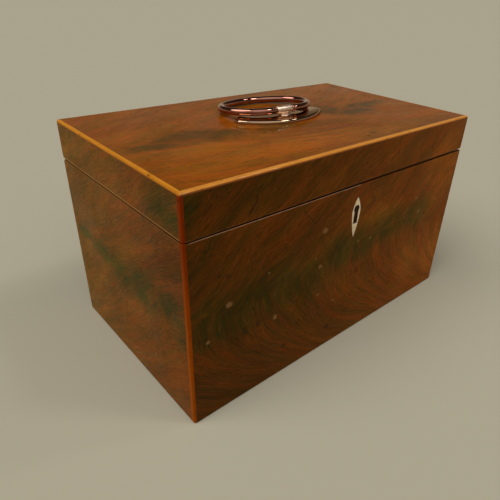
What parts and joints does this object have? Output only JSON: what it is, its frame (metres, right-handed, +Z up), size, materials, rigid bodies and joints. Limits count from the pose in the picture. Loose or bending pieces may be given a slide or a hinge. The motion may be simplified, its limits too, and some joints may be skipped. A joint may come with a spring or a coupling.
{
  "type": "tea caddy",
  "caption": "Rectangular mahogany-veneered tea caddy with a hinged locking lid, light edge strings, a pointed escutcheon, a brass ring handle and lidded foil-lined compartments.",
  "frame": {"origin": "middle of the underside, on the surface that the caddy stands on", "axes": "+X to the right along the front, +Y from the front to the back, +Z up"},
  "size_m": [0.2, 0.1164, 0.1235],
  "materials": {
    "mahogany_veneer": "French-polished figured mahogany veneer",
    "mahogany_solid": "planed and waxed mahogany",
    "boxwood": "polished boxwood, darkened with age",
    "bone": "polished bone, yellowed",
    "brass": "worn polished brass",
    "steel": "filed steel",
    "foil": "dull tea-chest foil, crinkled",
    "lining_paper": "plain lining paper, faded"
  },
  "bodies": {
    "case": {"case_back_board": "mahogany_solid", "case_back_veneer": "mahogany_veneer", "case_base_board": "mahogany_solid", "case_front_board": "mahogany_solid", "case_front_veneer": "mahogany_veneer", "case_left_board": "mahogany_solid", "case_left_veneer": "mahogany_veneer", "case_right_board": "mahogany_solid", "case_right_veneer": "mahogany_veneer", "case_screws": "brass", "case_string_left": "boxwood", "case_string_right": "boxwood", "escutcheon": "bone", "foil_lining_left": "foil", "foil_lining_right": "foil", "hinge_left_case_leaf": "brass", "hinge_left_pin": "steel", "hinge_right_case_leaf": "brass", "hinge_right_pin": "steel", "ledge_back_left": "mahogany_solid", "ledge_back_right": "mahogany_solid", "ledge_front_left": "mahogany_solid", "ledge_front_right": "mahogany_solid", "lock_cap": "brass", "lock_key_pin": "steel", "lock_pillars": "brass", "lock_plate": "brass", "lock_spring": "steel", "partition": "mahogany_solid"},
    "lid": {"handle_lug": "brass", "handle_nut": "brass", "handle_plate": "brass", "hinge_left_lid_leaf": "brass", "hinge_right_lid_leaf": "brass", "lid_back_rail": "mahogany_solid", "lid_back_veneer": "mahogany_veneer", "lid_front_rail": "mahogany_solid", "lid_front_veneer": "mahogany_veneer", "lid_left_rail": "mahogany_solid", "lid_left_veneer": "mahogany_veneer", "lid_lining": "lining_paper", "lid_right_rail": "mahogany_solid", "lid_right_veneer": "mahogany_veneer", "lid_screws": "brass", "lid_string_corner_left": "boxwood", "lid_string_corner_right": "boxwood", "lid_string_front": "boxwood", "lid_string_left": "boxwood", "lid_string_right": "boxwood", "lid_top_board": "mahogany_solid", "lid_top_veneer": "mahogany_veneer", "link_plate": "brass"},
    "handle": {"handle_loop": "brass", "handle_pin": "steel"},
    "lock_bolt": {"lock_bolt": "steel"},
    "inner_lid_left": {"inner_lid_knob_left": "bone", "inner_lid_left": "mahogany_solid"},
    "inner_lid_right": {"inner_lid_knob_right": "bone", "inner_lid_right": "mahogany_solid"}
  },
  "joints": [
    {"name": "lid_hinge", "type": "hinge", "parent": "case", "child": "lid", "pos_m": [0, 0.05585, 0.0964], "axis": [-1, 0, 0], "range_deg": [0, 98]},
    {"name": "handle_swing", "type": "hinge", "parent": "lid", "child": "handle", "pos_m": [0, -0.002, 0.12135], "axis": [0.9973, -0.0732, 0], "range_deg": [0, 185]},
    {"name": "lock_bolt_throw", "type": "slide", "parent": "case", "child": "lock_bolt", "axis": [1, 0, 0], "range_m": [0, 0.005]},
    {"name": "inner_lid_left_lift", "type": "slide", "parent": "case", "child": "inner_lid_left", "axis": [0, 0, 1], "range_m": [0, 0.014]},
    {"name": "inner_lid_right_lift", "type": "slide", "parent": "case", "child": "inner_lid_right", "axis": [0, 0, 1], "range_m": [0, 0.014]}
  ]
}
